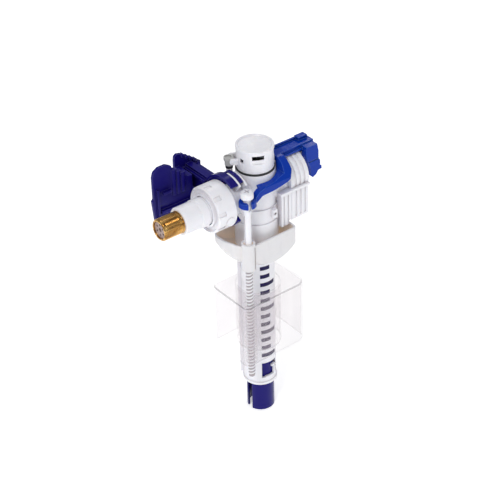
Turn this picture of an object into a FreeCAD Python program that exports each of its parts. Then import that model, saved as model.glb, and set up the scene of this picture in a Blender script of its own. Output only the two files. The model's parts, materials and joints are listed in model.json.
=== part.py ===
import FreeCAD, Part
import math
import os
import re

import Sketcher

# Side-inlet toilet fill valve.  The origin is the middle of the outlet end, Z runs up the
# stem and the water comes in along X from the -X side.

V = FreeCAD.Vector
doc = FreeCAD.newDocument("fill_valve")
sheet = doc.addObject("Spreadsheet::Sheet", "Dimensions")

DIMENSIONS = {
    # outlet tube and stem
    "outlet_radius": 11.0,
    "outlet_wall": 1.7,
    "outlet_length": 60.0,
    "outlet_slot": 5.0,
    "stem_radius": 13.0,
    "stem_wall": 1.7,
    "stem_foot": 27.6,
    "stem_top": 158.0,
    "window_left": -6.8,
    "window_width": 13.5,
    "window_foot": 34.0,
    "window_height": 14.5,
    "stem_rib_reach": 15.4,
    "stem_rib_width": 3.0,
    "stem_rib_angle": 142.0,
    # splash bowl
    "bowl_rim": 170.5,
    "bowl_wall": 1.5,
    "bowl_front": 21.8,
    "bowl_back": 22.0,
    "bowl_left": 32.8,
    "bowl_right": 21.4,
    "bowl_dome": 35.3,
    "bowl_dome_height": 176.9,
    "guide_radius": 5.2,
    "guide_foot": 150.5,
    "guide_top": 173.4,
    # adjusting spindle
    "spindle_x": -22.5,
    "spindle_y": -18.5,
    "spindle_radius": 2.9,
    "spindle_core": 2.3,
    "spindle_clearance": 0.6,
    "spindle_foot": 49.0,
    "thread_top": 154.0,
    "knob_radius": 4.8,
    "knob_foot": 212.0,
    "knob_top": 217.5,
    "clip_foot": 202.2,
    "clip_height": 2.0,
    "clip_radius": 4.3,
    # float
    "float_left": -31.0,
    "float_right": 28.6,
    "float_front": -24.5,
    "float_back": 20.4,
    "float_foot": 65.0,
    "float_top": 119.5,
    "float_wall": 1.2,
    "float_sleeve": 17.4,
    "float_boss": 4.6,
    # valve body
    "body_radius": 14.8,
    "body_step": 0.8,
    "body_top": 221.0,
    "step_low": 180.0,
    "step_high": 192.0,
    "inlet_height": 202.7,
    "neck_radius": 14.0,
    "neck_end": -39.8,
    "inlet_bore": 7.0,
    "column_side": 17.0,
    "column_low": 174.0,
    "nozzle_bore": 5.0,
    "nozzle_radius": 6.8,
    "nozzle_tip": 16.8,
    "chamber_radius": 12.4,
    "rail_radius": 21.2,
    "port_radius": 2.4,
    # inlet
    "nipple_radius": 8.33,
    "nipple_bore": 6.6,
    "nipple_start": -87.2,
    "nipple_end": -58.2,
    "tail_start": -70.0,
    "tail_shoulder": 0.5,
    "neck_waist": 13.2,
    "tail_radius": 10.6,
    "washer_thickness": 1.6,
    "nut_radius": 18.0,
    "nut_start": -47.0,
    "nut_end": -30.7,
    # bracket
    "band_radius": 21.6,
    "band_wall": 1.7,
    "ear_wall": 2.2,
    "front_ear": 28.0,
    "rear_ear": 44.0,
    # head
    "head_start": 20.0,
    "head_end": 37.0,
    "hood_radius": 16.7,
    "hood_height": 205.4,
    "head_side": 17.0,
    "head_lip": 1.2,
    "barrel_radius": 13.2,
    "head_foot": 174.6,
    "head_wall": 1.6,
    "groove_width": 1.7,
    "groove_depth": 0.6,
    "diaphragm_thickness": 1.2,
    "disc_radius": 8.2,
    "diaphragm_radius": 12.4,
    "disc_lift": 1.8,
    "pilot_tip": 41.0,
    # lever
    "pivot_x": 46.0,
    "pivot_height": 217.0,
    "pivot_radius": 1.5,
    "arm_inner": 15.4,
    "arm_reach": 19.6,
    "arm_front": 20.8,
    "arm_corner": 26.4,
    "beam_half": 5.0,
    "beam_foot": 222.9,
    "beam_top": 226.9,
    "block_front": 11.0,
    "fork_radius": 6.6,
    "fork_hole": 3.6,
    "fork_foot": 205.5,
    "fork_top": 209.8,
    "fork_lead": 0.3,
    # vent
    "cap_radius": 14.0,
    "cap_wall": 1.4,
    "cap_foot": 222.4,
    "cap_floor": 238.0,
    "cap_top": 240.4,
    "cap_window": 4.4,
    "cap_recess": 5.3,
    "flap_angle": 150.0,
    "flap_reach": 16.9,
    "flap_height": 229.3,
    "flap_half": 3.4,
    "pad_reach": 18.9,
    "pad_radius": 2.8,
    "pad_foot": 222.6,
}

for row, (name, number) in enumerate(DIMENSIONS.items(), start=1):
    sheet.set("A%d" % row, name)
    sheet.set("B%d" % row, str(number))
    sheet.setAlias("B%d" % row, name)
doc.recompute()

workings = doc.addObject("Spreadsheet::Sheet", "Workings")
FUNCTIONS = {"cos", "sin"}
spots = {}


# ---- helpers ---------------------------------------------------------------------------

def cell(text):
    """An expression with every dimension's name pointed at the spreadsheet."""
    def point(word):
        return word.group() if word.group() in FUNCTIONS else "Dimensions." + word.group()
    return re.sub(r"[a-z][a-z_]+", point, str(text))


def value(text):
    """The number an expression comes to, worked out in a spare sheet."""
    workings.set("A1", "=" + cell(text))
    workings.recompute()
    return float(workings.get("A1"))


def place(item, at):
    for axis, text in zip("xyz", at):
        item.setExpression("Placement.Base." + axis, cell(text))
    spots[item.Name] = at
    return item


def along(axis):
    """The rotation that lays a cylinder's own Z axis along X, Y or Z."""
    turns = {"X": (V(0, 1, 0), 90), "Y": (V(1, 0, 0), -90), "Z": (V(0, 0, 1), 0)}
    return FreeCAD.Rotation(*turns[axis])


def rod(name, radius, length, at, axis="Z"):
    item = doc.addObject("Part::Cylinder", name)
    item.Placement.Rotation = along(axis)
    item.setExpression("Radius", cell(radius))
    item.setExpression("Height", cell(length))
    return place(item, at)


def taper(name, first, second, length, at, axis="Z"):
    item = doc.addObject("Part::Cone", name)
    item.Placement.Rotation = along(axis)
    item.setExpression("Radius1", cell(first))
    item.setExpression("Radius2", cell(second))
    item.setExpression("Height", cell(length))
    return place(item, at)


def block(name, low, high):
    """A box between two corners, each given as three expressions."""
    item = doc.addObject("Part::Box", name)
    for size, start, end in zip(("Length", "Width", "Height"), low, high):
        item.setExpression(size, cell("(%s) - (%s)" % (end, start)))
    return place(item, low)


def swing(item, angle):
    """Turns an item about the stem axis, with its placed corner or middle."""
    turn = FreeCAD.Rotation(V(0, 0, 1), value(angle))
    item.Placement.Rotation = turn.multiply(item.Placement.Rotation)
    if item.Name in spots:
        across, back, _ = spots[item.Name]
        for axis, first, second, sign in (("x", across, back, "-"), ("y", back, across, "+")):
            text = "(%s) * cos(%s) %s (%s) * sin(%s)" % (first, angle, sign, second, angle)
            item.setExpression("Placement.Base." + axis, cell(text))
    return item


def fuse(name, *items):
    item = doc.addObject("Part::MultiFuse", name)
    item.Shapes = list(items)
    return item


def common(name, *items):
    item = doc.addObject("Part::MultiCommon", name)
    item.Shapes = list(items)
    return item


def cut(name, base, *tools):
    item = doc.addObject("Part::Cut", name)
    item.Base = base
    item.Tool = tools[0] if len(tools) == 1 else fuse(name + "_tools", *tools)
    return item


def tube(name, outer, inner, length, at, axis="Z"):
    core = rod(name + "_bore", inner, length, at, axis)
    return cut(name, rod(name + "_outside", outer, length, at, axis), core)


def sector(name, outer, inner, start, width, first, last):
    """Part of a ring about the inlet axis.  Angles run from +Y up towards +Z."""
    def wedge(label, radius):
        item = doc.addObject("Part::Cylinder", label)
        angle = math.radians(first)
        across = V(0, math.cos(angle), math.sin(angle))
        item.Placement.Rotation = FreeCAD.Rotation(across, V(1, 0, 0).cross(across), V(1, 0, 0))
        item.setExpression("Radius", cell(radius))
        item.setExpression("Height", cell(width))
        item.Angle = last - first
        return place(item, (start, 0, "inlet_height"))
    return cut(name, wedge(name + "_outside", outer), wedge(name + "_inside", inner))


def draw(sketch, points):
    """A closed outline of straight lines, each corner held by two bound dimensions."""
    corners = [V(value(across), value(up), 0) for across, up in points]
    count = len(corners)
    lines = [Part.LineSegment(corners[n], corners[(n + 1) % count]) for n in range(count)]
    sketch.addGeometry(lines)
    sketch.addConstraint(
        [Sketcher.Constraint("Coincident", n, 2, (n + 1) % count, 1) for n in range(count)])
    for n, point in enumerate(points):
        for kind, text, number in zip(("DistanceX", "DistanceY"), point, corners[n]):
            held = sketch.addConstraint(Sketcher.Constraint(kind, -1, 1, n, 1, number))
            sketch.setExpression("Constraints[%d]" % held, cell(text))
    return sketch


def ring(sketch, across, up, radius):
    """A circle held by its middle and its radius."""
    middle = V(value(across), value(up), 0)
    edge = sketch.addGeometry(Part.Circle(middle, V(0, 0, 1), value(radius)))
    for kind, text, number in (("DistanceX", across, middle.x), ("DistanceY", up, middle.y)):
        held = sketch.addConstraint(Sketcher.Constraint(kind, -1, 1, edge, 3, number))
        sketch.setExpression("Constraints[%d]" % held, cell(text))
    held = sketch.addConstraint(Sketcher.Constraint("Radius", edge, value(radius)))
    sketch.setExpression("Constraints[%d]" % held, cell(radius))
    return sketch


def sketch_in(body, name, role, offset="0"):
    """A sketch on one of the body's own origin planes, moved along the plane's normal."""
    plane = next(item for item in body.Origin.OriginFeatures if item.Role == role)
    sketch = body.newObject("Sketcher::SketchObject", name)
    sketch.AttachmentSupport = [(plane, "")]
    sketch.MapMode = "FlatFace"
    sketch.setExpression("AttachmentOffset.Base.z", cell(offset))
    return sketch


def feature(body, kind, name, sketch=None, length=None, **settings):
    item = body.newObject("PartDesign::" + kind, name)
    if sketch:
        item.Profile = sketch
    if length:
        item.setExpression("Length", cell(length))
    for setting, choice in settings.items():
        setattr(item, setting, choice)
    body.Tip = item
    return item


def new_body(name):
    return doc.addObject("PartDesign::Body", name)


def turned(name, points, axis="X"):
    """A body turned about the inlet axis (X) or the stem axis (Z) from (along, radius)."""
    body = new_body(name)
    if axis == "X":
        sketch = draw(sketch_in(body, name + "_profile", "XZ_Plane"), points)
        place(body, (0, 0, "inlet_height"))
    else:
        swapped = [(radius, up) for up, radius in points]
        sketch = draw(sketch_in(body, name + "_profile", "XZ_Plane"), swapped)
    turn = feature(body, "Revolution", name + "_turning", sketch)
    turn.ReferenceAxis = (sketch, ["H_Axis" if axis == "X" else "V_Axis"])
    turn.Angle = 360
    return body


def pattern(body, name, original, axis_role, count):
    """Repeats a feature evenly round one of the body's own axes."""
    axis = next(item for item in body.Origin.OriginFeatures if item.Role == axis_role)
    item = body.newObject("PartDesign::PolarPattern", name)
    item.Originals = [original]
    item.Axis = (axis, [""])
    item.Angle = 360
    item.Occurrences = count
    body.Tip = item
    return item


def edges_at(item, spots):
    """Names of the upright edges that stand on the given (x, y) spots."""
    names = []
    for number, edge in enumerate(item.Shape.Edges, start=1):
        low, high = edge.BoundBox.ZMin, edge.BoundBox.ZMax
        flat = edge.BoundBox.XLength + edge.BoundBox.YLength
        middle = edge.BoundBox.Center
        near = any(math.hypot(middle.x - x, middle.y - y) < 0.2 for x, y in spots)
        if near and flat < 0.01 < high - low:
            names.append("Edge%d" % number)
    return names


def round_upright(body, name, base, spots, radius):
    doc.recompute()
    item = feature(body, "Fillet", name)
    item.Base = (base, edges_at(base, spots))
    item.setExpression("Radius", cell(radius))
    return item


def plate(name, plane, points, start, length):
    """A flat piece cut to an outline, in plane XZ (thick towards +Y), XY or YZ."""
    turns = {"XY": FreeCAD.Rotation(0, 0, 0),
             "XZ": FreeCAD.Rotation(V(1, 0, 0), 90),
             "YZ": FreeCAD.Rotation(V(1, 0, 0), V(0, 1, 0), V(0, 0, 1)) * FreeCAD.Rotation(90, 0, 90)}
    sketch = doc.addObject("Sketcher::SketchObject", name + "_outline")
    sketch.Placement.Rotation = turns[plane]
    shift = {"XY": "z", "XZ": "y", "YZ": "x"}[plane]
    sketch.setExpression("Placement.Base." + shift, cell(start))
    draw(sketch, points)
    item = doc.addObject("Part::Extrusion", name)
    item.Base = sketch
    item.DirMode = "Custom"
    item.Dir = {"XY": V(0, 0, 1), "XZ": V(0, 1, 0), "YZ": V(1, 0, 0)}[plane]
    item.setExpression("LengthFwd", cell(length))
    item.Solid = True
    return item


# ---- inlet side ------------------------------------------------------------------------

def inlet_nipple():
    return turned("inlet_nipple", [
        ("nipple_start", "nipple_bore"),
        ("nipple_start", "nipple_radius - 0.7"),
        ("nipple_start + 0.7", "nipple_radius"),
        ("tail_start - 2.2", "nipple_radius"),
        ("tail_start - 1.8", "nipple_radius - 0.6"),
        ("tail_start - 0.9", "nipple_radius - 0.6"),
        ("tail_start - 0.5", "nipple_radius"),
        ("nipple_end", "nipple_radius"),
        ("nipple_end", "nipple_bore")])


def flow_throttle():
    body = turned("flow_throttle", [
        ("nipple_start + 1.2", "1.6"),
        ("nipple_start + 1.2", "nipple_bore - 0.05"),
        ("nipple_start + 5.2", "nipple_bore - 0.05"),
        ("nipple_start + 5.2", "1.6")])
    sketch = ring(sketch_in(body, "throttle_hole", "YZ_Plane", "nipple_start + 1"), 0, 4, 0.9)
    hole = feature(body, "Pocket", "throttle_holes", sketch, "6", Reversed=True)
    pattern(body, "throttle_ring_of_holes", hole, "X_Axis", 6)
    return body


def inlet_tail():
    return turned("inlet_tail", [
        ("tail_start", "nipple_radius + 0.07"),
        ("tail_start", "tail_radius - 0.8"),
        ("tail_start + 0.8", "tail_radius"),
        ("tail_start + 14", "tail_radius"),
        ("tail_start + 14.5", "tail_radius + tail_shoulder"),
        ("nut_start - 2.6", "tail_radius + tail_shoulder"),
        ("nut_start - 2.1", "tail_radius"),
        ("nut_start + 3.6", "tail_radius"),
        ("nut_start + 3.6", "neck_radius + 0.3"),
        ("nut_start + 5.6", "neck_radius + 0.3"),
        ("nut_start + 5.6", "inlet_bore"),
        ("nipple_end + 0.2", "inlet_bore"),
        ("nipple_end + 0.2", "nipple_radius + 0.07")])


def tail_washer():
    return turned("tail_washer", [
        ("neck_end - washer_thickness", "inlet_bore + 0.4"),
        ("neck_end - washer_thickness", "neck_radius - 0.3"),
        ("neck_end", "neck_radius - 0.3"),
        ("neck_end", "inlet_bore + 0.4")])


def union_nut():
    body = turned("union_nut", [
        ("nut_start - 0.8", "tail_radius + 0.6"),
        ("nut_start - 0.8", "tail_radius + 2"),
        ("nut_start + 1.6", "tail_radius + 2.4"),
        ("nut_start + 1.6", "nut_radius - 2.4"),
        ("nut_start", "nut_radius - 1.4"),
        ("nut_start + 1", "nut_radius"),
        ("nut_end - 0.6", "nut_radius"),
        ("nut_end", "nut_radius - 0.6"),
        ("nut_end", "neck_radius + 0.7"),
        ("nut_start + 3.4", "neck_radius + 0.7"),
        ("nut_start + 3.4", "tail_radius + 0.6")])
    sketch = draw(sketch_in(body, "grip_outline", "YZ_Plane", "nut_start - 0.5"), [
        ("-1.5", "nut_radius - 0.9"), ("1.5", "nut_radius - 0.9"),
        ("1.9", "nut_radius + 0.5"), ("-1.9", "nut_radius + 0.5")])
    grip = feature(body, "Pocket", "grip_notch", sketch, "7", Reversed=True)
    pattern(body, "grip_notches", grip, "X_Axis", 9)
    sketch = ring(sketch_in(body, "boss_outline", "XZ_Plane", "nut_radius - 3"),
                  "nut_end - 6.4", "-5", "3.3")
    feature(body, "Pad", "gate_boss", sketch, "3.5")
    return body


def inlet_strainer():
    body = turned("inlet_strainer", [
        ("neck_end + 0.1", "inlet_bore - 2.2"),
        ("neck_end + 0.1", "inlet_bore - 0.1"),
        ("neck_end + 1.5", "inlet_bore - 0.1"),
        ("neck_end + 1.5", "inlet_bore - 1.4"),
        ("neck_end + 15", "inlet_bore - 1.8"),
        ("neck_end + 15", "0"),
        ("neck_end + 14", "0"),
        ("neck_end + 14", "inlet_bore - 2.6")])
    sketch = draw(sketch_in(body, "mesh_slot", "XY_Plane"), [
        ("neck_end + 3", "-0.7"), ("neck_end + 12.5", "-0.7"),
        ("neck_end + 12.5", "0.7"), ("neck_end + 3", "0.7")])
    slot = feature(body, "Pocket", "strainer_slot", sketch, "inlet_bore", Reversed=True)
    pattern(body, "strainer_slots", slot, "X_Axis", 8)
    return body


# ---- valve body ------------------------------------------------------------------------

def valve_body():
    axis_at = (0, 0, "inlet_height")
    outside = fuse(
        "body_outside",
        rod("upper_barrel", "body_radius", "body_top - stem_top", (0, 0, "stem_top")),
        rod("middle_barrel", "body_radius + body_step", "step_high - step_low",
            (0, 0, "step_low")),
        rod("lower_barrel", "body_radius + 2 * body_step", "step_low - stem_top",
            (0, 0, "stem_top")),
        rod("spigot", "stem_radius - stem_wall - 0.1", "10", (0, 0, "stem_top - 10")),
        rod("neck", "neck_waist", "-neck_end", ("neck_end", 0, "inlet_height"), "X"),
        rod("neck_collar", "neck_radius", "-26.2 - neck_end", ("neck_end", 0, "inlet_height"),
            "X"),
        rod("head_barrel", "barrel_radius", "head_start - 0.2", axis_at, "X"),
        block("head_column", (10.5, "-column_side", "column_low + 1.5"), (
            "head_start - 0.2", "column_side", "inlet_height - 2")),
        block("column_foot", (10.5, "-column_side", "column_low - 2"), (
            "head_start - 2.4", "column_side - 3.5", "column_low + 2")),
        block("head_ledge", (9.4, "-column_side - 1.4", "inlet_height - 3.4"), (
            "head_start - 0.2", "column_side + 1.4", "inlet_height - 1.4")),
        sector("bracket_rail", "rail_radius", "neck_waist - 1", -24.7, "1.6", 84, 128),
        sector("inner_rail", "rail_radius - 0.8", "neck_waist - 1", -19.2, "1.8", 84, 130),
        swing(rod("vent_port", "port_radius", "pad_foot - 205.2", ("pad_reach", 0, 205)),
              "flap_angle"),
        block("clip_lug", (1.6, -18.4, 184), (5.4, -12, 191)))
    chamber = cut(
        "chamber",
        fuse("chamber_outside",
             rod("chamber_barrel", "chamber_radius", "body_top - 5 - 162", (0, 0, 162)),
             rod("chamber_head", "barrel_radius - 1.6", "head_start", axis_at, "X")),
        rod("nozzle", "nozzle_radius", "nozzle_tip + 15", (-15, 0, "inlet_height"), "X"))
    holes = [
        rod("inlet_hole", "inlet_bore", "-neck_end - 15", ("neck_end", 0, "inlet_height"), "X"),
        rod("nozzle_hole", "nozzle_bore", "nozzle_tip + 16", (-15.5, 0, "inlet_height"), "X"),
        rod("outlet_hole", "outlet_radius - outlet_wall", "20", (0, 0, "stem_top - 12")),
        rod("lug_hole", "1.2", "5", (3.5, -20, 187.6), "Y"),
        swing(rod("port_hole", "port_radius - 1.2", "12", ("pad_reach", 0, 214)),
              "flap_angle")]
    for number in range(6):
        hole = rod("vent_hole_%d" % number, "1.6", "8", ("chamber_radius - 5.4", 0, "body_top - 6"))
        holes.append(swing(hole, str(60 * number)))
    for number in range(2):
        left = 12.2 + 3.8 * number
        holes.append(block("column_groove_%d" % number, (left, "-column_side - 1", 170),
                           (left + 1.5, "-column_side + 0.7", "inlet_height - 5")))
    hollow = cut("body_chamber", outside, chamber)
    return cut("valve_body", cut("body_waterway", hollow, *holes[:3]), *holes[3:])


def stem_tube():
    wall = fuse(
        "stem_outside",
        rod("stem_barrel", "stem_radius", "stem_top - stem_foot", (0, 0, "stem_foot")),
        rod("stem_lip", "stem_radius + 0.6", "2.2", (0, 0, "stem_foot")),
        swing(block("stem_rib", (10, "-stem_rib_width / 2", "stem_foot + 5"),
                    ("stem_rib_reach", "stem_rib_width / 2", 145)), "stem_rib_angle"))
    window = block("stem_window", ("window_left", -20, "window_foot"),
                   ("window_left + window_width", -6, "window_foot + window_height"))
    bored = cut("stem_bored", wall, rod(
        "stem_bore", "stem_radius - stem_wall", "stem_top", (0, 0, 0)), window)
    finger = common(
        "latch_finger",
        tube("latch_wall", "stem_radius", "stem_radius - stem_wall", "15", (0, 0, "window_foot")),
        fuse("latch_shape",
             block("latch_tongue", ("window_left + window_width - 3", -20, "window_foot - 1"),
                   ("window_left + window_width - 1", -6, "window_foot + 10")),
             block("latch_hook", ("window_left + window_width - 5", -20, "window_foot + 8.4"),
                   ("window_left + window_width - 1", -6, "window_foot + 10")),
             block("latch_root", ("window_left + 3", -20, "window_foot - 1"),
                   ("window_left + window_width", -6, "window_foot + 0.8"))))
    return fuse("stem_tube", bored, finger)


def outlet_tube():
    body = turned("outlet_tube", [
        ("0", "outlet_radius - outlet_wall"),
        ("0", "outlet_radius"),
        ("stem_foot", "outlet_radius"),
        ("stem_foot + 0.2", "outlet_radius + 0.2"),
        ("stem_foot + 1.2", "outlet_radius + 0.2"),
        ("stem_foot + 1.4", "outlet_radius"),
        ("outlet_length", "outlet_radius"),
        ("outlet_length", "outlet_radius - outlet_wall")], "Z")
    sketch = draw(sketch_in(body, "slot_outline", "XY_Plane", "-1"), [
        ("-outlet_radius - 2", "-outlet_slot / 2"), ("-outlet_radius + 4", "-outlet_slot / 2"),
        ("-outlet_radius + 4", "outlet_slot / 2"), ("-outlet_radius - 2", "outlet_slot / 2")])
    feature(body, "Pocket", "outlet_slot_cut", sketch, "stem_foot + 6", Reversed=True)
    return body


# ---- splash bowl -----------------------------------------------------------------------

def bowl_block(name, inset):
    """The upright block that gives the bowl its plan, rounded at the corners."""
    body = new_body(name)
    left = "-bowl_left + %s" % inset
    right = "bowl_right - %s" % inset
    front = "-bowl_front + %s" % inset
    back = "bowl_back - %s" % inset
    points = [(left, "9"), (left, "-1"), ("-29 + %s" % inset, "-13"), ("-24 + %s" % inset, front),
              (right, front), (right, "bowl_back - 8"), ("bowl_right - 8", back), ("-20", back)]
    sketch = draw(sketch_in(body, name + "_plan", "XY_Plane", "140 + %s" % inset), points)
    pad = feature(body, "Pad", name + "_pad", sketch, "bowl_rim - 140")
    spots = [(value(across), value(up)) for across, up in points]
    soft = round_upright(body, name + "_left", pad, spots[:3] + spots[-1:], "7 - %s" % inset)
    round_upright(body, name + "_right", soft, spots[4:7], "3.5 - %s" % inset)
    return body


def splash_bowl():
    def dome(name, inset):
        item = doc.addObject("Part::Sphere", name)
        item.setExpression("Radius", cell("bowl_dome - %s" % inset))
        return place(item, (0, 0, "bowl_dome_height"))
    outside = common("bowl_outside", bowl_block("bowl_plan", "0"), dome("bowl_dome", "0"))
    inside = common("bowl_inside", bowl_block("bowl_room", "bowl_wall"),
                    dome("bowl_inner_dome", "bowl_wall"))
    at_spindle = ("spindle_x", "spindle_y")
    guide = rod("spindle_guide", "guide_radius", "guide_top - guide_foot",
                at_spindle + ("guide_foot",))
    shell = fuse("bowl_shell", cut("bowl_hollow", outside, inside), guide)
    bore = rod("guide_bore", "spindle_radius + spindle_clearance", "60", at_spindle + (140,))
    slit = block("guide_slit", ("spindle_x + 2", "spindle_y - 8", "guide_foot - 1"),
                 ("spindle_x + 3", "spindle_y", "guide_top - 3"))
    stem_hole = rod("bowl_stem_hole", "stem_radius + 0.1", "60", (0, 0, 120))
    rib_hole = swing(block("bowl_rib_hole", (8, "-stem_rib_width / 2 - 0.2", 130),
                           ("stem_rib_reach + 0.3", "stem_rib_width / 2 + 0.2", 146)),
                     "stem_rib_angle")
    return cut("splash_bowl", shell, bore, slit, stem_hole, rib_hole)


# ---- spindle and float -----------------------------------------------------------------

def adjusting_spindle():
    body = turned("adjusting_spindle", [
        ("spindle_foot", "0"),
        ("spindle_foot", "spindle_core - 0.6"),
        ("spindle_foot + 0.8", "spindle_core"),
        ("thread_top", "spindle_core"),
        ("thread_top + 1", "spindle_radius"),
        ("clip_foot - 0.1", "spindle_radius"),
        ("clip_foot - 0.1", "spindle_core"),
        ("clip_foot + clip_height + 0.1", "spindle_core"),
        ("clip_foot + clip_height + 0.1", "spindle_radius"),
        ("knob_foot", "spindle_radius"),
        ("knob_foot", "knob_radius - 0.4"),
        ("knob_foot + 0.5", "knob_radius"),
        ("knob_top - 1.4", "knob_radius"),
        ("knob_top - 0.4", "knob_radius - 0.8"),
        ("knob_top", "knob_radius - 2"),
        ("knob_top", "0")], "Z")
    place(body, ("spindle_x", "spindle_y", 0))
    for number, (half_x, half_y) in enumerate((("2.4", "0.45"), ("0.45", "2.4"))):
        sketch = draw(sketch_in(body, "drive_%d" % number, "XY_Plane", "knob_top - 1.4"), [
            ("-" + half_x, "-" + half_y), (half_x, "-" + half_y),
            (half_x, half_y), ("-" + half_x, half_y)])
        feature(body, "Pocket", "drive_slot_%d" % number, sketch, "2", Reversed=True)
    sketch = draw(sketch_in(body, "flute_outline", "XY_Plane", "thread_top + 6"), [
        ("-spindle_radius - 1", "-0.5"), ("-spindle_radius + 0.7", "-0.5"),
        ("-spindle_radius + 0.7", "0.5"), ("-spindle_radius - 1", "0.5")])
    flute = feature(body, "Pocket", "flute", sketch, "clip_foot - thread_top - 10", Reversed=True)
    pattern(body, "flutes", flute, "Z_Axis", 3)
    return body


def spindle_clip():
    height = "clip_height"
    at_spindle = ("spindle_x", "spindle_y", "clip_foot")
    disc = tube("clip_ring", "clip_radius", "spindle_core + 0.3", height, at_spindle)
    mouth = block("clip_mouth", ("spindle_x - 1.6", "spindle_y - 7", "clip_foot - 1"),
                  ("spindle_x + 1.6", "spindle_y", "clip_foot + clip_height + 1"))
    return cut("spindle_clip", disc, mouth)


def float_shell():
    body = new_body("float_shell")
    corners = [("float_left", "float_front"), ("float_right", "float_front"),
               ("float_right", "float_back"), ("float_left", "float_back")]
    sketch = draw(sketch_in(body, "float_plan", "XY_Plane", "float_foot"), corners)
    last = feature(body, "Pad", "float_block", sketch, "float_top - float_foot")
    spots = [(value(across), value(up)) for across, up in corners]
    for number, radius in enumerate(("5", "9", "12", "7")):
        spot = spots[number:number + 1]
        last = round_upright(body, "float_corner_%d" % number, last, spot, radius)
    doc.recompute()
    top = max(range(len(last.Shape.Faces)), key=lambda n: last.Shape.Faces[n].CenterOfMass.z)
    soft = feature(body, "Fillet", "float_top_edge")
    soft.Base = (last, ["Face%d" % (top + 1)])
    soft.Radius = 1.6
    doc.recompute()
    foot = min(range(len(soft.Shape.Faces)), key=lambda n: soft.Shape.Faces[n].CenterOfMass.z)
    shell = feature(body, "Thickness", "float_hollow")
    shell.Base = (soft, ["Face%d" % (foot + 1)])
    shell.setExpression("Value", cell("float_wall"))
    shell.Reversed = True
    height = "float_top - float_foot"
    for name, spot, radius, bore in (
            ("sleeve", ("0", "0"), "float_sleeve", "float_sleeve - 1"),
            ("boss", ("spindle_x", "spindle_y"), "float_boss",
             "spindle_radius + spindle_clearance")):
        sketch = ring(sketch_in(body, name + "_outline", "XY_Plane", "float_foot"), *spot, radius)
        feature(body, "Pad", name + "_pad", sketch, height)
        sketch = ring(sketch_in(body, name + "_bore", "XY_Plane", "float_foot - 1"), *spot, bore)
        feature(body, "Pocket", name + "_hole", sketch, height + " + 2", Reversed=True)
    return body


# ---- retaining bracket -----------------------------------------------------------------

def retaining_bracket():
    inside = "band_radius - band_wall"
    pieces = [
        sector("front_band", "band_radius", inside, -31, "6", 30, 124),
        sector("second_band", "band_radius", inside, -22.7, "3.1", 76, 121),
        sector("saddle", "band_radius", "neck_radius + 0.2", -30.4, "4", 30, 90),
        sector("saddle_foot", "neck_radius + 4.4", "neck_radius + 0.2", -30.4, "4", -150, 30.5),
        sector("band_bridge", "band_radius", inside, -31, "11.4", 76, 81),
        plate("band_web", "XZ", [(-30.4, 199), (-25, 199), (-25, 215.5), (-30.4, 215.5)],
              "band_radius - 4", "rear_ear - band_radius + 4"),
        plate("top_web", "XZ", [(-33, 211.5), (-20, 210.5), (-20, 212.5), (-33, 213.5)],
              "band_radius - 3.4", "rear_ear - band_radius + 3.4"),
        plate("front_ear_plate", "XZ", [
            (-70.6, 188), (-54, 186), (-40, 192), (-40, 216), (-53, 225.5), (-54.5, 230),
            (-59, 232.5), (-65.5, 232.5), (-69.6, 230), (-71, 226), (-71, 208), (-72.4, 206.5)],
              "front_ear", "ear_wall"),
        plate("rear_ear_plate", "XZ", [
            (-40.5, 190), (-19, 190), (-17, 196), (-17, 213), (-22, 216.5), (-34, 225),
            (-38, 226), (-40, 224.5), (-40.5, 221)], "rear_ear", "ear_wall"),
        plate("ear_web", "XZ", [(-40.5, 192), (-36.5, 192), (-36.5, 216), (-40.5, 216)],
              "front_ear", "rear_ear - front_ear"),
        plate("lower_web", "XZ", [(-66, 195), (-20, 195), (-20, 197.2), (-66, 197.2)],
              "front_ear - 3", "ear_wall + 3"),
        block("ear_rib", (-68.6, "front_ear - 1.6", 190), (-66.8, "front_ear + 1", 215)),
        block("ear_step", (-64, "front_ear - 3.2", 210.4), (-57, "front_ear + 1", 212.2))]
    for number in range(3):
        left = -53 + 3.9 * number
        pieces.append(rod("scallop_%d" % number, "2.1", 21 - 2.4 * number,
                          (left, "front_ear + 0.4", "inlet_height + 3"), "Z"))
    for number in range(4):
        tooth = (-33.2 + 3.6 * number, "rear_ear - 0.8", 223.4 - 2.55 * number)
        pieces.append(rod("tooth_%d" % number, "1.5", "ear_wall + 0.8", tooth, "Y"))
    return fuse("retaining_bracket", *pieces)


# ---- head ------------------------------------------------------------------------------

def head_solid(name, inset, start, length):
    """The cover's outer shape: a round hood over a flat-sided lower panel."""
    end = "%s + %s" % (start, length)
    barrel = common(
        name + "_hood",
        rod(name + "_barrel", "hood_radius - %s" % inset, length, (start, 0, "hood_height"), "X"),
        block(name + "_upper", (start, -30, "inlet_height - 4"), (end, 30, 240)))
    sides = block(name + "_sides", (start, "-head_side + %s" % inset, "head_foot"),
                  (end + " - head_lip", "head_side - %s" % inset, "inlet_height - 2"))
    return fuse(name, barrel, sides)


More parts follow.
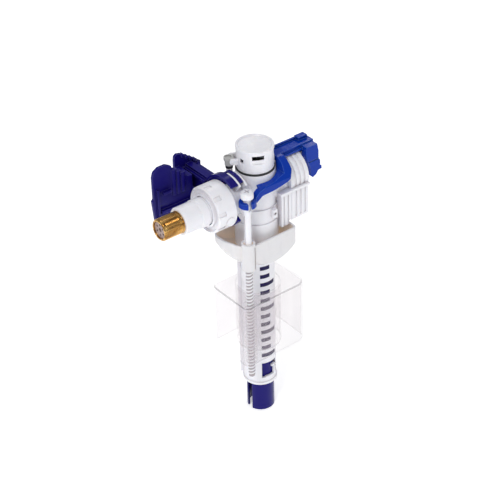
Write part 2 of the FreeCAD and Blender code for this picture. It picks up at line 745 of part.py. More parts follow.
def head_cover():
    length = "head_end - head_start"
    lugs = []
    for name, near, far in (("rear_lug", 5.6, 8.2), ("front_lug", -4.6, -2.2)):
        arm = block(name + "_arm", ("head_end - 1", near, "pivot_height - 3.2"),
                    ("pivot_x", far, "pivot_height + 3"))
        eye = rod(name + "_eye", "3.1", far - near, ("pivot_x", near, "pivot_height"), "Y")
        lugs += [arm, eye]
    outside = fuse(
        "head_outside", head_solid("hood", "0", "head_start", length),
        taper("pilot_nozzle", "3.4", "1.6", "pilot_tip - head_end",
              ("head_end", 0, "inlet_height"), "X"), *lugs)
    tools = [
        rod("control_chamber", "diaphragm_radius - 1.2", "head_end - head_start - 2.6",
            ("head_start", 0, "inlet_height"), "X"),
        rod("diaphragm_seat", "diaphragm_radius + 0.1", "diaphragm_thickness + 0.1",
            ("head_start - 0.1", 0, "inlet_height"), "X"),
        rod("pilot_hole", "0.6", "10", ("head_end - 5", 0, "inlet_height"), "X"),
        rod("pivot_hole", "pivot_radius", "30", ("pivot_x", -15, "pivot_height"), "Y"),
        cut("skirt_room",
            block("skirt_space", ("head_start + 2.2", "-head_side + head_wall", "head_foot - 1"),
                  ("head_end - head_lip - head_wall", "head_side - head_wall", "inlet_height - 4")),
            rod("chamber_wall", "diaphragm_radius + 0.2", "40", (10, 0, "inlet_height"), "X"))]
    for number, left in enumerate((23.6, 27.8, 32.0)):
        slab = block("groove_slab_%d" % number, (left, -30, "head_foot + 2"),
                     ("%s + groove_width" % left, 30, 240))
        kept = head_solid("groove_core_%d" % number, "groove_depth", str(left - 1), "5")
        tools.append(cut("hood_groove_%d" % number, slab, kept))
    ledges = [
        block("cover_ledge_%s" % side, ("head_start", near, "inlet_height - 3.4"),
              ("head_end - 0.4", far, "inlet_height - 1.4"))
        for side, near, far in (("front", "-head_side - 1.4", "-head_side + 1"),
                                ("back", "head_side - 1", "head_side + 1.4"))]
    return fuse("head_cover", cut("ribbed_cover", outside, *tools), *ledges)


def diaphragm():
    start = "head_start"
    return turned("diaphragm", [
        (start, "disc_radius + 0.4"),
        (start, "diaphragm_radius"),
        ("head_start + diaphragm_thickness - 0.1", "diaphragm_radius"),
        ("head_start + diaphragm_thickness - 0.1", "disc_radius + 0.4")])


def valve_disc():
    """The moving centre of the diaphragm, drawn open."""
    face = "nozzle_tip + disc_lift"
    return turned("valve_disc", [
        (face, "0"),
        (face, "disc_radius - 0.6"),
        (face + " + 0.6", "disc_radius"),
        (face + " + 3.2", "disc_radius"),
        (face + " + 3.2", "3"),
        (face + " + 7", "2.4"),
        (face + " + 7", "0")])


def pilot_pad():
    return rod("pilot_pad", "2.6", "2", ("pilot_tip + 2.05", 0, "inlet_height"), "X")


def lever_pivot_pin():
    return rod("lever_pivot_pin", "pivot_radius - 0.02", "17.6", ("pivot_x", -9, "pivot_height"),
               "Y")


def lever_arm():
    height = "40"
    curve = cut(
        "arm_curve",
        common("arm_corner",
               block("arm_square", (-9, "-arm_front", 200), ("arm_reach", "beam_half", 240)),
               rod("arm_sweep", "arm_corner", height, (0, 0, 200))),
        rod("arm_room", "arm_inner", height, (0, 0, 200)))
    link = block("arm_link", (-20, "-arm_front", 200), (-8, "-arm_front + 5", 240))
    fork = rod("fork_ring", "fork_radius", height, ("spindle_x + fork_lead", "spindle_y", 200))
    beam = block("beam_plan", (14.4, "-beam_half", 200), ("arm_reach", "beam_half", 240))
    plan = fuse("arm_plan", curve, link, fork, beam)
    side = plate("arm_side", "XZ", [
        (-31, "fork_foot"), (-16, "fork_foot"), (-10, 209.6), (2, 210), (13, 212), (17, 214),
        (20, 217), (20, "beam_top"), (14.4, "beam_top"), (12.5, 218.6), (2, 216.4), (-6, 215.6),
        (-12.4, 213.8), (-16.8, "fork_top"), (-31, "fork_top")], -30, "60")
    front = plate("arm_front_view", "YZ", [
        (-30, 200), (-16, 200), (-15.2, 210), (-10, 217), (-6, 219), (-5, "beam_foot"),
        ("beam_half", "beam_foot"), ("beam_half", "beam_top"), (-8.6, "beam_top"),
        (-12.4, 225.2), (-15.8, 222), (-18.6, 217.8), ("-arm_front", 215), (-30, 214.8)],
        -40, "80")
    arm = common("arm_body", plan, side, front)
    profile = plate("end_block", "XZ", [
        (39.6, 226), (39.6, 218), (43.7, 207), (43.7, 200.6), (45.6, 198.6), (49, 200.2),
        (51, 203), (54.2, 203.2), (54.2, 205.6), (52.8, 207), (52.8, 210.6), (51.2, 214),
        (51.2, 219.6), (49.8, 226)], "-block_front", "block_front + beam_half")
    beam_bar = block("beam", (14.4, "-beam_half", "beam_foot"), (51, "beam_half", "beam_top"))
    flange = block("beam_flange", ("arm_reach", "-beam_half - 1.6", "beam_foot"),
                   (50, "-beam_half", "beam_foot + 1.6"))
    ridge = block("beam_ridge", (15.4, "beam_half - 1.6", "beam_top - 1"),
                  (50, "beam_half", "beam_top + 1.5"))
    stop = block("beam_stop", (41, "beam_half - 5", "beam_top - 1"),
                 (49.4, "beam_half", "beam_top + 2.4"))
    eye = rod("fork_eye", "fork_radius - 0.6", "fork_top - fork_foot",
              ("spindle_x + fork_lead", "spindle_y", "fork_foot"))
    solid = fuse("lever_solid", arm, eye, profile, beam_bar, flange, ridge, stop)
    fork_mouth = plate("fork_mouth", "XY", [
        ("spindle_x + fork_lead + %s" % across, "spindle_y - %s" % back)
        for across, back in ((0.54, 2.3), (-2.03, 9.4), (-4.47, 8.5), (-1.9, 1.4))], 200, "20")
    return cut(
        "lever_arm", solid,
        rod("fork_hole", "fork_hole", "60", ("spindle_x + fork_lead", "spindle_y", 190)),
        fork_mouth,
        block("block_groove", (38, "-block_front - 1", 212.2), (60, "-block_front + 0.6", 213.2)),
        rod("lever_bore", "pivot_radius + 0.05", "20", ("pivot_x", -9.2, "pivot_height"), "Y"),
        block("lug_slot", (39, -5.1, 212.6), (50, -1.7, 221)),
        rod("pad_pocket", "2.62", "4.1", ("pilot_tip", 0, "inlet_height"), "X"),
        rod("neck_scoop", "neck_radius + 0.5", "20", (-32, 0, "inlet_height"), "X"))


# ---- vent ------------------------------------------------------------------------------

def vent_ring():
    return tube("vent_ring", "cap_radius + 0.5", "cap_radius - 1.9", "cap_foot - body_top - 0.2",
                (0, 0, "body_top + 0.1"))


def vent_membrane():
    return rod("vent_membrane", "cap_radius - 3.5", "1.2", (0, 0, "body_top + 0.1"))


def vent_cap():
    inner = "cap_radius - cap_wall"
    body = turned("cap_turning", [
        ("body_top + 0.2", "cap_radius - 3"),
        ("body_top + 0.2", "cap_radius - 2"),
        ("cap_foot", "cap_radius - 2"),
        ("cap_foot", "cap_radius - 0.3"),
        ("cap_foot + 0.8", "cap_radius"),
        ("cap_top - 4", "cap_radius"),
        ("cap_top - 0.6", "cap_radius + 0.4"),
        ("cap_top", "cap_radius"),
        ("cap_top", "cap_radius - 1.1"),
        ("cap_floor + 1.4", "cap_radius - 2"),
        ("cap_floor + 0.8", "0"),
        ("cap_floor - 0.6", "0"),
        ("cap_floor - 0.6", inner),
        ("cap_foot + 2", inner),
        ("cap_foot + 2", "cap_radius - 3")], "Z")
    pieces = [body]
    for name, near, far in (("left_lug", "-flap_half - 1.9", "-flap_half - 0.3"),
                            ("right_lug", "flap_half + 0.3", "flap_half + 1.9")):
        pieces.append(block(name, ("cap_radius - 1.8", near, "flap_height - 2.6"),
                            ("flap_reach", far, "flap_height + 2.2")))
        eye = rod(name + "_eye", "2.2", "1.6", ("flap_reach", near, "flap_height"), "Y")
        pieces.append(eye)
    tools = [rod("flap_pin_hole", "1", "20", ("flap_reach", -10, "flap_height"), "Y")]
    for number in range(3):
        window = block("cap_window_%d" % number, (8, "-cap_window", "cap_top - 7"),
                       (20, "cap_window", "cap_top - 3.2"))
        tools.append(swing(window, str(92 + 88 * number)))
        recess = block("cap_recess_%d" % number, ("cap_radius - 0.9", "-cap_recess", "cap_top - 10"),
                       (20, "cap_recess", "cap_top - 3.2"))
        tools.append(swing(recess, str(92 + 88 * number)))
    for number, angle in enumerate(("38", "-38")):
        slot = block("cap_slot_%d" % number, (8, -1.8, "cap_top - 10.4"), (20, 1.8, "cap_top - 7.2"))
        tools.append(swing(slot, angle))
    return swing(cut("vent_cap", fuse("cap_outside", *pieces), *tools), "flap_angle")


def flap_pin():
    return swing(rod("flap_pin", "0.97", "2 * flap_half + 3.8",
                     ("flap_reach", "-flap_half - 1.9", "flap_height"), "Y"), "flap_angle")


def vent_flap():
    low = "flap_height - 0.4"
    solid = fuse(
        "flap_solid",
        rod("flap_barrel", "2.1", "2 * flap_half", ("flap_reach", "-flap_half", "flap_height"), "Y"),
        block("flap_plate", ("flap_reach", "-flap_half", low),
              ("pad_reach + 0.6", "flap_half", "flap_height + 2.1")),
        rod("flap_nose", "flap_half", "2.5", ("pad_reach + 0.6", 0, low)),
        rod("pad_holder", "pad_radius + 0.5", "flap_height - pad_foot - 2.2",
            ("pad_reach", 0, "pad_foot + 2.4")))
    return swing(cut(
        "vent_flap", solid,
        rod("flap_bore", "1.03", "20", ("flap_reach", -10, "flap_height"), "Y"),
        rod("flap_dish", "flap_half - 0.9", "1", ("pad_reach + 0.6", 0, "flap_height + 1.4"))),
        "flap_angle")


def flap_pad():
    return swing(rod("flap_pad", "pad_radius", "2.4", ("pad_reach", 0, "pad_foot")),
                 "flap_angle")


# ---- build and check -------------------------------------------------------------------

PIECES = (inlet_nipple, flow_throttle, inlet_tail, tail_washer, union_nut, inlet_strainer,
          valve_body, stem_tube, outlet_tube, splash_bowl, adjusting_spindle, spindle_clip,
          float_shell, retaining_bracket, head_cover, diaphragm, valve_disc, pilot_pad,
          lever_pivot_pin, lever_arm, vent_ring, vent_membrane, vent_cap, flap_pin, vent_flap,
          flap_pad)

made = {maker.__name__: maker() for maker in PIECES}
doc.recompute()

for item in doc.Objects:
    if {"Invalid", "Error"} & set(item.State):
        raise RuntimeError("%s failed: %s" % (item.Name, item.State))

os.makedirs("parts", exist_ok=True)
for name, item in made.items():
    item.Label = name
    shape = item.Shape
    if shape.isNull() or not shape.isValid() or len(shape.Solids) != 1:
        raise RuntimeError("%s is not one sound solid (%d)" % (name, len(shape.Solids)))
    shape.exportStep("parts/%s.step" % name)
    print("%-20s %9.1f mm3" % (name, shape.Volume))
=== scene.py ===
import json
import math

import bmesh
import bpy
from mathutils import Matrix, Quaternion, Vector


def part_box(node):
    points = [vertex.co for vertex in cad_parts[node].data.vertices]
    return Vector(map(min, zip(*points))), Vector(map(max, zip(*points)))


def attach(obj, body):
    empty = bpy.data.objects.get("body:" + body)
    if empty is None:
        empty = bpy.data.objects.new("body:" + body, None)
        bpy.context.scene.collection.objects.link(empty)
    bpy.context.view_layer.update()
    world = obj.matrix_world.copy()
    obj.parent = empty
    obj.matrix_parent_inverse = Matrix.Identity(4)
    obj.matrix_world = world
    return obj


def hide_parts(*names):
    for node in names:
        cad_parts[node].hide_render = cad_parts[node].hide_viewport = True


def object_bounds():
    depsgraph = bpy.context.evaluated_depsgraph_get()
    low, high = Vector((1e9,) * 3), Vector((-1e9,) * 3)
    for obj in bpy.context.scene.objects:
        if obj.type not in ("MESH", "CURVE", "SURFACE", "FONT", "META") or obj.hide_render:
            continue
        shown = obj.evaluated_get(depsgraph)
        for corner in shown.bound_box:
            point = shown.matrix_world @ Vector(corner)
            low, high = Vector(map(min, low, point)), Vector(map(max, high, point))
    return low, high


# The looks of a side-inlet toilet fill valve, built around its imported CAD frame.  Metres, Z up
# the stem, -X out along the inlet nipple.

MM = 0.001
SMOOTH_UP_TO = 30.0    # degrees between faces that still shade as one
CLEAR_PASSES = 24      # the float's clear walls stand in rows of eight and more

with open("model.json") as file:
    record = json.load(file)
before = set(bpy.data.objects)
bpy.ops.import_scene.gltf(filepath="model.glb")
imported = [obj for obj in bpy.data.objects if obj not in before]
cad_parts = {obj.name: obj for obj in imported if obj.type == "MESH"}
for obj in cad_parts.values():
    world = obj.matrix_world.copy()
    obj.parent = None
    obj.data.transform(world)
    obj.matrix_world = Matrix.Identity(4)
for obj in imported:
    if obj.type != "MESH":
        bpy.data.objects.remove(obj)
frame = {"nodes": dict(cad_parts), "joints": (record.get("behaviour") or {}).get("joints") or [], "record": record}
cad_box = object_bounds()
nodes = frame["nodes"]
spindle_joint = next(joint for joint in frame["joints"] if joint["name"] == "spindle_turn")
SPINDLE_MIDDLE = Vector((spindle_joint["pos_m"][0], spindle_joint["pos_m"][1], 0))
THREAD_CORE, THREAD_CREST = 2.32 * MM, 2.95 * MM    # radii of the spindle's coarse thread


# ---- node trees ------------------------------------------------------------------------

class Tree:
    """A material's node tree, with short calls for adding and joining nodes."""

    def __init__(self, name):
        self.material = bpy.data.materials.new(name)
        self.material.use_nodes = True
        self.tree = self.material.node_tree
        self.shader = self.tree.nodes["Principled BSDF"]
        self.place = self.add("ShaderNodeTexCoord").outputs["Object"]

    def add(self, kind, **settings):
        node = self.tree.nodes.new(kind)
        for name, value in settings.items():
            setattr(node, name, value)
        return node

    def join(self, source, target):
        self.tree.links.new(source, target)

    def feed(self, node, **inputs):
        """Sets sockets by name: a plain value is stored, an output is linked."""
        for name, value in inputs.items():
            socket = node.inputs[name.replace("_", " ")]
            if isinstance(value, bpy.types.NodeSocket):
                self.join(value, socket)
            else:
                socket.default_value = value
        return node

    def stretched(self, scale):
        node = self.add("ShaderNodeMapping")
        node.inputs["Scale"].default_value = scale
        self.join(self.place, node.inputs["Vector"])
        return node.outputs["Vector"]

    def noise(self, scale, detail=3.0, rough=0.5, vector=None):
        node = self.add("ShaderNodeTexNoise")
        self.feed(node, Vector=vector or self.place, Scale=scale, Detail=detail, Roughness=rough)
        return node.outputs["Fac"]

    def spread(self, source, low, high, start=0.3, end=0.7):
        """Maps start..end of a source onto low..high."""
        node = self.add("ShaderNodeMapRange")
        for socket, value in zip(node.inputs[1:5], (start, end, low, high)):
            socket.default_value = value
        self.join(source, node.inputs["Value"])
        return node.outputs["Result"]

    def math(self, operation, first, second):
        node = self.add("ShaderNodeMath", operation=operation)
        for socket, value in zip(node.inputs, (first, second)):
            if isinstance(value, bpy.types.NodeSocket):
                self.join(value, socket)
            else:
                socket.default_value = value
        return node.outputs["Value"]

    def mix(self, amount, first, second):
        """Blends two colours."""
        node = self.add("ShaderNodeMix", data_type="RGBA")
        for socket, value in zip((node.inputs[0], node.inputs[6], node.inputs[7]),
                                 (amount, first, second)):
            if isinstance(value, bpy.types.NodeSocket):
                self.join(value, socket)
            else:
                socket.default_value = value if isinstance(value, float) else (*value, 1.0)
        return node.outputs[2]

    def soft_edges(self, radius):
        """A normal that runs round sharp edges, as a mould's small radii do."""
        node = self.add("ShaderNodeBevel", samples=6)
        node.inputs["Radius"].default_value = radius
        return node.outputs["Normal"]

    def edge_mask(self, soft, gain):
        """0 on flat faces, rising to 1 on edges."""
        flat = self.add("ShaderNodeNewGeometry").outputs["Normal"]
        dot = self.add("ShaderNodeVectorMath", operation="DOT_PRODUCT")
        self.join(soft, dot.inputs[0])
        self.join(flat, dot.inputs[1])
        bent = self.math("SUBTRACT", 1.0, dot.outputs["Value"])
        node = self.add("ShaderNodeClamp")
        self.join(self.math("MULTIPLY", bent, gain), node.inputs["Value"])
        return node.outputs["Result"]

    def rounded_rim(self):
        """1 where an upright wall rounds over into a level face, 0 on both of them."""
        split = self.add("ShaderNodeSeparateXYZ")
        self.join(self.add("ShaderNodeNewGeometry").outputs["Normal"], split.inputs[0])
        slope = self.math("ABSOLUTE", split.outputs["Z"], 0.0)
        return self.math("MULTIPLY", self.spread(slope, 0.0, 1.0, 0.15, 0.5),
                         self.spread(slope, 1.0, 0.0, 0.85, 0.98))

    def crevices(self, reach):
        """1 in the open, falling to 0 far into corners."""
        node = self.add("ShaderNodeAmbientOcclusion", samples=6, only_local=True)
        node.inputs["Distance"].default_value = reach
        return node.outputs["AO"]

    def bump(self, height, distance, normal):
        node = self.add("ShaderNodeBump")
        node.inputs["Strength"].default_value = 1.0
        node.inputs["Distance"].default_value = distance
        self.join(height, node.inputs["Height"])
        self.join(normal, node.inputs["Normal"])
        return node.outputs["Normal"]


def moulded(name, colour, shade_colour, edge_highlight, roughness=0.3, shine=0.5, milk=0.0, grain=0.012,
            waves=0.05, reach=0.012, soft=0.35, glow=0.0):
    """Injection-moulded plastic: fine grain, slow flow waves, soft edges painted paler as a painted
    highlight, and painted shade in its corners.  grain, waves and soft are in millimetres.
    With glow, its wide hollows take a tan painted shade and a painted glow of emission that stands
    in for light soaking through the wall, and its narrow slots take a grey painted shade."""
    tree = Tree(name)
    edge = tree.soft_edges(soft * MM)
    tone = tree.noise(22.0, 2.0)
    flow = tree.noise(90.0, 2.0, vector=tree.stretched((1.0, 1.0, 0.35)))
    fine = tree.noise(2600.0, 4.0, 0.6)
    # Corners and hollows are painted in the shade colour: painted shade.
    corners = tree.crevices(reach)
    open_air = tree.spread(corners, 0.0, 1.0, 0.15, 0.95)
    if glow:
        # Wide hollows take the tan painted shade; slots too narrow for it take a grey painted shade.
        roomy = tree.spread(tree.crevices(4.0 * MM), 0.0, 1.0, 0.55, 0.9)
        base = tree.mix(open_air, tree.mix(roomy, (0.52, 0.49, 0.50), shade_colour), colour)
    else:
        base = tree.mix(open_air, shade_colour, colour)
    paler = tuple(min(1.0, 1.05 * part) for part in colour)
    base = tree.mix(tree.spread(tone, 0.0, 0.35), base, paler)
    # Edges are painted paler along the bevel mask, varied at random by the tone noise: a painted highlight.
    highlight_mask = tree.math("MULTIPLY", tree.edge_mask(edge, 3.0), tree.spread(tone, 0.25, 0.7))
    base = tree.mix(highlight_mask, base, edge_highlight)
    wax = tree.math("ADD", tree.spread(flow, -0.05, 0.06), tree.spread(fine, -0.03, 0.04))
    normal = tree.bump(flow, waves * MM, edge)
    normal = tree.bump(fine, grain * MM, normal)
    tree.feed(tree.shader, Base_Color=base, Normal=normal,
              Roughness=tree.math("ADD", wax, roughness))
    tree.feed(tree.shader, Specular_IOR_Level=shine, Subsurface_Weight=milk,
              Subsurface_Scale=0.0015, IOR=1.49)
    tree.shader.inputs["Subsurface Radius"].default_value = (1.0, 0.8, 0.65)
    if glow:
        # Painted glow: emission in the hollows, standing in for light that soaks through the wall.
        tree.feed(tree.shader, Emission_Color=(*shade_colour, 1.0), Emission_Strength=tree.math(
            "MULTIPLY", roomy, tree.spread(corners, glow, 0.0, 0.30, 0.7)))
    return tree.material


def threaded(name, middle, root, crest):
    """White plastic whose thread is painted darker towards its root: painted shade."""
    tree = Tree(name)
    edge = tree.soft_edges(0.1 * MM)
    from_axis = tree.add("ShaderNodeVectorMath", operation="DISTANCE")
    tree.join(tree.stretched((1.0, 1.0, 0.0)), from_axis.inputs[0])
    from_axis.inputs[1].default_value = middle
    height = tree.spread(from_axis.outputs["Value"], 0.0, 1.0, root, crest)
    fine = tree.noise(2600.0, 4.0, 0.6)
    # The thread is painted dark grey at its root and white at its crest: painted shade.
    tree.feed(tree.shader, Base_Color=tree.mix(height, (0.40, 0.36, 0.38), WHITE),
              Normal=tree.bump(fine, 0.012 * MM, edge), Roughness=tree.spread(fine, 0.24, 0.32))
    tree.feed(tree.shader, Subsurface_Weight=0.05, Subsurface_Scale=0.0015, IOR=1.49)
    return tree.material


def clear(name):
    """Thin clear plastic: nearly unseen face on, greyer at its edges and on its rounded rim,
    where the dark grey is a painted reflection, with faint flow marks."""
    tree = Tree(name)
    edge = tree.soft_edges(0.6 * MM)
    flow = tree.noise(60.0, 2.0, vector=tree.stretched((1.0, 1.0, 0.25)))
    fine = tree.noise(1500.0, 3.0)
    facing = tree.add("ShaderNodeLayerWeight")
    facing.inputs["Blend"].default_value = 0.5
    outline = tree.spread(facing.outputs["Facing"], 0.0, 1.0, 0.72, 0.97)
    rim = tree.math("MAXIMUM", tree.edge_mask(edge, 6.0), tree.rounded_rim())
    face_haze, rim_haze = 0.085, 0.30
    haze = tree.math("MULTIPLY", tree.math("MAXIMUM", rim, outline), rim_haze)
    haze = tree.math("ADD", tree.math("ADD", haze, face_haze), tree.spread(flow, -0.01, 0.02))
    tint = tree.mix(tree.spread(flow, 0.0, 1.0), (0.76, 0.66, 0.68), (0.70, 0.64, 0.68))
    # The edges and rounded rim are painted dark grey: a painted reflection standing in for the dark lines along
    # the edges of clear plastic.
    tint = tree.mix(rim, tint, (0.30, 0.29, 0.31))
    normal = tree.bump(flow, 0.05 * MM, edge)
    normal = tree.bump(fine, 0.004 * MM, normal)
    tree.feed(tree.shader, Base_Color=tint, Normal=normal, Alpha=haze,
              Roughness=tree.spread(fine, 0.06, 0.12))
    tree.feed(tree.shader, IOR=1.49)
    return tree.material


def rubber(name):
    """Matt black rubber with a faint bloom."""
    tree = Tree(name)
    edge = tree.soft_edges(0.3 * MM)
    bloom = tree.noise(140.0, 4.0, 0.6)
    fine = tree.noise(3800.0, 3.0)
    base = tree.mix(tree.spread(bloom, 0.0, 1.0), (0.010, 0.010, 0.012), (0.030, 0.030, 0.033))
    tree.feed(tree.shader, Base_Color=base, Normal=tree.bump(fine, 0.02 * MM, edge),
              Roughness=tree.spread(bloom, 0.42, 0.62))
    return tree.material


def turned_brass(name):
    """Bright brass with ring marks from the lathe, browner where the polish stops, with dark brown
    streaks along it that are a painted reflection and edges painted pale gold as a painted highlight.
    """
    tree = Tree(name)
    edge = tree.soft_edges(0.25 * MM)
    rings = tree.noise(1.0, 3.0, 0.6, tree.stretched((5200.0, 60.0, 60.0)))
    cloud = tree.noise(160.0, 4.0, 0.6)
    open_air = tree.spread(tree.crevices(0.0015), 0.0, 1.0, 0.35, 0.9)
    # Dark brown streaks running along the nipple: a painted reflection.
    reflection_bands = tree.noise(1.0, 2.0, 0.5, tree.stretched((70.0, 330.0, 330.0)))
    clean = tree.mix(tree.spread(cloud, 0.0, 1.0), (0.80, 0.50, 0.16), (0.62, 0.33, 0.08))
    clean = tree.mix(tree.spread(reflection_bands, 0.0, 0.85, 0.42, 0.60), clean, (0.22, 0.085, 0.012))
    base = tree.mix(open_air, (0.20, 0.08, 0.02), clean)
    # Edges painted pale gold: a painted highlight.
    base = tree.mix(tree.edge_mask(edge, 2.5), base, (0.97, 0.78, 0.47))
    dull = tree.math("ADD", tree.spread(rings, 0.06, 0.16), tree.spread(cloud, 0.0, 0.10))
    tree.feed(tree.shader, Base_Color=base, Metallic=1.0, Roughness=dull,
              Normal=tree.bump(rings, 0.006 * MM, edge))
    return tree.material


WHITE = (0.90, 0.90, 0.945)
# moulded takes the plastic's colour, then a painted shade colour for corners and hollows, then a painted highlight
# colour for edges.
LOOKS = {
    "white_plastic": moulded("white_plastic", WHITE, (0.60, 0.565, 0.585), (0.93, 0.93, 0.95),
                             0.27, milk=0.15),
    "bowl_plastic": moulded("bowl_plastic", (0.79, 0.785, 0.80), (0.93, 0.70, 0.48),
                            (0.93, 0.93, 0.95), 0.28, milk=0.12, reach=0.035, glow=0.35),
    "navy_plastic": moulded("navy_plastic", (0.009, 0.006, 0.155), (0.004, 0.002, 0.050),
                            (0.20, 0.20, 0.62), 0.14, shine=0.16, waves=0.16, soft=0.5),
    "blue_plastic": moulded("blue_plastic", (0.001, 0.036, 0.370), (0.001, 0.009, 0.140),
                            (0.16, 0.38, 0.92), 0.12, shine=0.18, waves=0.16, soft=0.6),
    "thread_plastic": threaded("thread_plastic", SPINDLE_MIDDLE, THREAD_CORE + 0.08 * MM,
                               THREAD_CREST - 0.05 * MM),
    "mark_ink": moulded("mark_ink", (0.006, 0.003, 0.060), (0.004, 0.002, 0.040),
                        (0.010, 0.006, 0.090), 0.30, shine=0.2, soft=0.05),
    "throttle_plastic": moulded("throttle_plastic", (0.40, 0.29, 0.26), (0.16, 0.11, 0.10),
                                (0.60, 0.50, 0.46), 0.35, reach=0.002),
    "grey_plastic": moulded("grey_plastic", (0.47, 0.47, 0.46), (0.20, 0.19, 0.18),
                            (0.66, 0.66, 0.66), 0.40),
    "clear_plastic": clear("clear_plastic"),
    "black_rubber": rubber("black_rubber"),
    "brass_nipple": turned_brass("brass_nipple"),
}


def dress(piece, look):
    """Gives a piece one material and smooth shading."""
    piece.data.materials.clear()
    piece.data.materials.append(LOOKS[look])
    piece.modifiers.new("smooth_faces", "NODES").node_group = SMOOTH


def smooth_group():
    """A modifier that joins split corners and shades gentle ones smooth."""
    group = bpy.data.node_groups.new("smooth_faces", "GeometryNodeTree")
    group.interface.new_socket("Geometry", in_out="INPUT", socket_type="NodeSocketGeometry")
    group.interface.new_socket("Geometry", in_out="OUTPUT", socket_type="NodeSocketGeometry")
    start = group.nodes.new("NodeGroupInput")
    end = group.nodes.new("NodeGroupOutput")
    weld = group.nodes.new("GeometryNodeMergeByDistance")
    weld.inputs["Distance"].default_value = 0.002 * MM
    angle = group.nodes.new("GeometryNodeInputMeshEdgeAngle")
    low = group.nodes.new("FunctionNodeCompare")
    low.data_type = "FLOAT"
    low.operation = "LESS_EQUAL"
    low.inputs["B"].default_value = math.radians(SMOOTH_UP_TO)
    smooth = group.nodes.new("GeometryNodeSetShadeSmooth")
    smooth.domain = "EDGE"
    faces = group.nodes.new("GeometryNodeSetShadeSmooth")
    links = group.links
    links.new(start.outputs[0], weld.inputs["Geometry"])
    links.new(weld.outputs["Geometry"], faces.inputs["Geometry"])
    links.new(faces.outputs["Geometry"], smooth.inputs["Geometry"])
    links.new(angle.outputs["Unsigned Angle"], low.inputs["A"])
    links.new(low.outputs["Result"], smooth.inputs["Shade Smooth"])
    links.new(smooth.outputs["Geometry"], end.inputs[0])
    return group


SMOOTH = smooth_group()
slots = {entry["node"]: entry["material_slot"] for entry in frame["record"]["subparts"]}
slots["flow_throttle"] = "throttle_plastic"
for name, piece in nodes.items():
    dress(piece, slots[name])


# ---- pieces made here ------------------------------------------------------------------

def add_piece(piece, body, slot, look=None):
    """Puts a made piece on its body.  Its look is its slot's unless another is named."""
    bpy.context.scene.collection.objects.link(piece)
    dress(piece, look or slot)
    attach(piece, body)
    return piece


def lathe_sweep(name, rows, closed_ends=True):
    """A mesh from rows of points, each row joined to the next and each row closed."""
    mesh = bpy.data.meshes.new(name)
    shape = bmesh.new()
    rings = [[shape.verts.new(point) for point in row] for row in rows]
    count = len(rings[0])
    for first, second in zip(rings, rings[1:]):
        for n in range(count):
            m = (n + 1) % count
            shape.faces.new((first[n], first[m], second[m], second[n]))
    if closed_ends:
        shape.faces.new(rings[0])
        shape.faces.new(list(reversed(rings[-1])))
    bmesh.ops.recalc_face_normals(shape, faces=shape.faces)
    for face in shape.faces:
        face.smooth = True
    shape.to_mesh(mesh)
    shape.free()
    return bpy.data.objects.new(name, mesh)


def tooth(phase, flat):
    """A thread's height at a point of its pitch: 0 on the flat crest, 1 at the root."""
    return min(1.0, max(0.0, (1 + 2 * flat) * abs(2 * (phase % 1.0) - 1) - flat))


def screw(name, stations, place, around, closed_ends=True):
    """A turned, threaded skin.  Each station is (along, radius, cut depth, phase, flat)."""
    rows = []
    for along, radius, depth, phase, flat in stations:
        rows.append([
            place(along, radius - depth * tooth(phase - n / around, flat), 2 * math.pi * n / around)
            for n in range(around)])
    return lathe_sweep(name, rows, closed_ends)


def spindle_thread():
    """The coarse adjusting thread, wound round the spindle's plain core."""
    pitch, core, crest = 3.0 * MM, THREAD_CORE, THREAD_CREST
    start, length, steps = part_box("adjusting_spindle")[0].z + 1.2 * MM, 103.0 * MM, 12
    count = int(steps * length / pitch)
    stations = [(start, core - 0.2 * MM, 0.0, 0.0, 0.0)]
    for n in range(count + 1):
        fade = min(1.0, n / steps, (count - n) / steps)
        top = core + (crest - core) * fade
        stations.append((start + pitch * n / steps, top, top - core, n / steps, 0.28))
    stations.append((stations[-1][0], core - 0.2 * MM, 0.0, 0.0, 0.0))

    def place(height, radius, turn):
        return SPINDLE_MIDDLE + Vector((radius * math.cos(turn), radius * math.sin(turn), height))
    return screw("spindle_thread", stations, place, 40)


add_piece(spindle_thread(), "spindle", "white_plastic", "thread_plastic")


def threaded_nipple():
    """The brass nipple: a turned tube whose free end has a real helical pipe thread."""
    low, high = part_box("inlet_nipple")
    axis_height = (low.z + high.z) / 2
    major = (high.z - low.z) / 2
    bore, pitch, cut = 6.6 * MM, 1.337 * MM, 0.42 * MM
    tail_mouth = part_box("inlet_tail")[0].x
    start, end = low.x + 0.9 * MM, tail_mouth - 2.6 * MM
    stations = [(low.x, bore, 0, 0, 0), (low.x, major - 0.8 * MM, 0, 0, 0),
                (low.x + 0.45 * MM, major - 0.3 * MM, 0, 0, 0)]
    steps = 8
    count = int(steps * (end - start) / pitch)
    for n in range(count + 1):
        fade = min(1.0, n / steps, (count - n) / steps)
        stations.append((start + pitch * n / steps, major, cut * fade, n / steps, 0.2))
    neck = tail_mouth - 2.2 * MM
    for offset, radius in ((0.0, major), (0.4 * MM, major - 0.6 * MM),
                           (1.3 * MM, major - 0.6 * MM), (1.7 * MM, major)):
        stations.append((neck + offset, radius, 0, 0, 0))
    stations += [(high.x, major, 0, 0, 0), (high.x, bore, 0, 0, 0)]

    def place(along, radius, turn):
        return Vector((along, radius * math.cos(turn), axis_height + radius * math.sin(turn)))
    stations.append(stations[0])
    return screw("threaded_nipple", stations, place, 96, closed_ends=False)


nipple = add_piece(threaded_nipple(), "housing", "brass_nipple")
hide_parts("inlet_nipple")


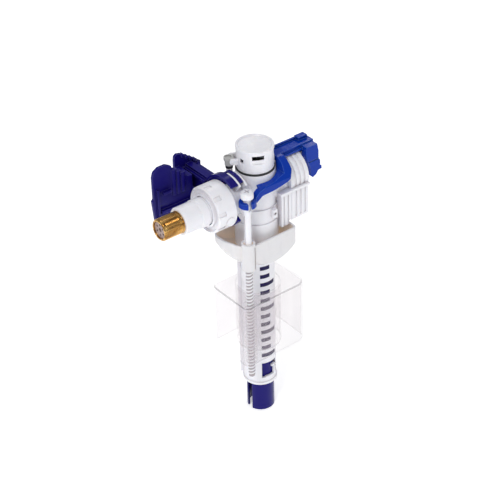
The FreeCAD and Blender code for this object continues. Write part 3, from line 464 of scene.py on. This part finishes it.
def level_scale():
    """Plain level marks up the front of the stem: every third bar is long."""
    radius = 13.0 * MM
    mesh = bpy.data.meshes.new("level_scale")
    shape = bmesh.new()
    first, gap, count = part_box("stem_tube")[0].z + 28.9 * MM, 7.5 * MM, 12
    half_height = 1.7 * MM
    for number in range(count):
        left, right = (-31.0, 26.0) if number % 3 == 0 else (-31.0, 4.0)
        steps = 10
        lower, upper = [], []
        for n in range(steps + 1):
            angle = math.radians(-90 + left + (right - left) * n / steps)
            spot = Vector((math.cos(angle), math.sin(angle), 0))
            for depth, rows in ((-0.1 * MM, lower), (0.12 * MM, upper)):
                for side in (-1, 1):
                    point = spot * (radius + depth)
                    point.z = first + gap * number + side * half_height
                    rows.append(shape.verts.new(point))
        for n in range(steps):
            a, b = 2 * n, 2 * n + 1
            shape.faces.new((upper[a], upper[a + 2], upper[b + 2], upper[b]))
            shape.faces.new((lower[a], lower[b], lower[b + 2], lower[a + 2]))
            shape.faces.new((lower[a], lower[a + 2], upper[a + 2], upper[a]))
            shape.faces.new((lower[b + 2], lower[b], upper[b], upper[b + 2]))
        shape.faces.new((lower[1], lower[0], upper[0], upper[1]))
        shape.faces.new((lower[-2], lower[-1], upper[-1], upper[-2]))
    bmesh.ops.recalc_face_normals(shape, faces=shape.faces)
    shape.to_mesh(mesh)
    shape.free()
    return bpy.data.objects.new("level_scale", mesh)


add_piece(level_scale(), "housing", "navy_plastic", "mark_ink")


# ---- floor, light and camera -----------------------------------------------------------

def studio_floor():
    """A pale sheet of paper, lit a little from within so that it stays near white."""
    half = 4.0
    mesh = bpy.data.meshes.new("floor")
    corners = [(-half, -half), (half, -half), (half, half), (-half, half)]
    level = cad_box[0][2] - 0.5 * MM
    mesh.from_pydata([(x, y, level) for x, y in corners], [], [(0, 1, 2, 3)])
    floor = bpy.data.objects.new("floor", mesh)
    bpy.context.scene.collection.objects.link(floor)
    tree = Tree("pale_floor")
    paper = tree.noise(9.0, 3.0)
    tree.feed(tree.shader, Base_Color=tree.mix(tree.spread(paper, 0.0, 1.0), (0.94, 0.94, 0.94),
                                               (0.96, 0.96, 0.96)), Roughness=0.85)
    tree.feed(tree.shader, Emission_Color=(1.0, 1.0, 1.0, 1.0), Emission_Strength=0.46)
    floor.data.materials.append(tree.material)


def sky():
    """A soft dome: bright overhead, dimmer towards the horizon."""
    world = bpy.data.worlds.new("studio")
    bpy.context.scene.world = world
    world.use_nodes = True
    tree = world.node_tree
    back = tree.nodes["Background"]
    place = tree.nodes.new("ShaderNodeTexCoord")
    split = tree.nodes.new("ShaderNodeSeparateXYZ")
    ramp = tree.nodes.new("ShaderNodeValToRGB")
    ramp.color_ramp.elements[0].position = 0.0
    ramp.color_ramp.elements[0].color = (0.60, 0.60, 0.62, 1)
    ramp.color_ramp.elements[1].position = 0.75
    ramp.color_ramp.elements[1].color = (0.95, 0.95, 0.97, 1)
    tree.links.new(place.outputs["Generated"], split.inputs[0])
    tree.links.new(split.outputs["Z"], ramp.inputs["Fac"])
    tree.links.new(ramp.outputs["Color"], back.inputs["Color"])
    back.inputs["Strength"].default_value = 0.50


def softbox(name, place, size, power, aim):
    """A rectangular lamp of the given width and height that faces a point."""
    light = bpy.data.lights.new(name, "AREA")
    light.shape = "RECTANGLE"
    light.size, light.size_y = size
    light.energy = power
    lamp = bpy.data.objects.new(name, light)
    bpy.context.scene.collection.objects.link(lamp)
    lamp.location = place
    lamp.rotation_mode = "QUATERNION"
    lamp.rotation_quaternion = (Vector(aim) - Vector(place)).to_track_quat("-Z", "Y")


TARGET = Vector((-4.3, 3.3, 147.8)) * MM
AZIMUTH, ELEVATION, ROLL = -37.65, 34.3, -1.61
DISTANCE = 1.1
LENS = 105.18


def camera():
    """The photograph's viewing angle.  Azimuth is counted from -Y towards +X."""
    azimuth, elevation = math.radians(AZIMUTH), math.radians(ELEVATION)
    back = Vector((math.sin(azimuth) * math.cos(elevation),
                   -math.cos(azimuth) * math.cos(elevation), math.sin(elevation)))
    data = bpy.data.cameras.new("camera")
    data.lens = LENS
    data.sensor_width = 36.0
    data.clip_end = 20.0
    item = bpy.data.objects.new("camera", data)
    bpy.context.scene.collection.objects.link(item)
    item.location = TARGET + back * DISTANCE
    item.rotation_mode = "QUATERNION"
    facing = (-back).to_track_quat("-Z", "Y")
    item.rotation_quaternion = facing @ Quaternion((0, 0, 1), math.radians(ROLL))
    bpy.context.scene.camera = item


studio_floor()
sky()
softbox("key", (-0.9, -0.5, 1.3), (0.4, 0.4), 8.0, TARGET)
softbox("rim", (0.9, 0.7, 0.9), (0.4, 0.8), 3.0, TARGET)
softbox("front", (0.35, -1.2, 0.75), (0.3, 0.5), 1.4, TARGET)
camera()
bpy.context.scene.view_settings.view_transform = "Standard"
bpy.context.scene.cycles.transparent_max_bounces = CLEAR_PASSES
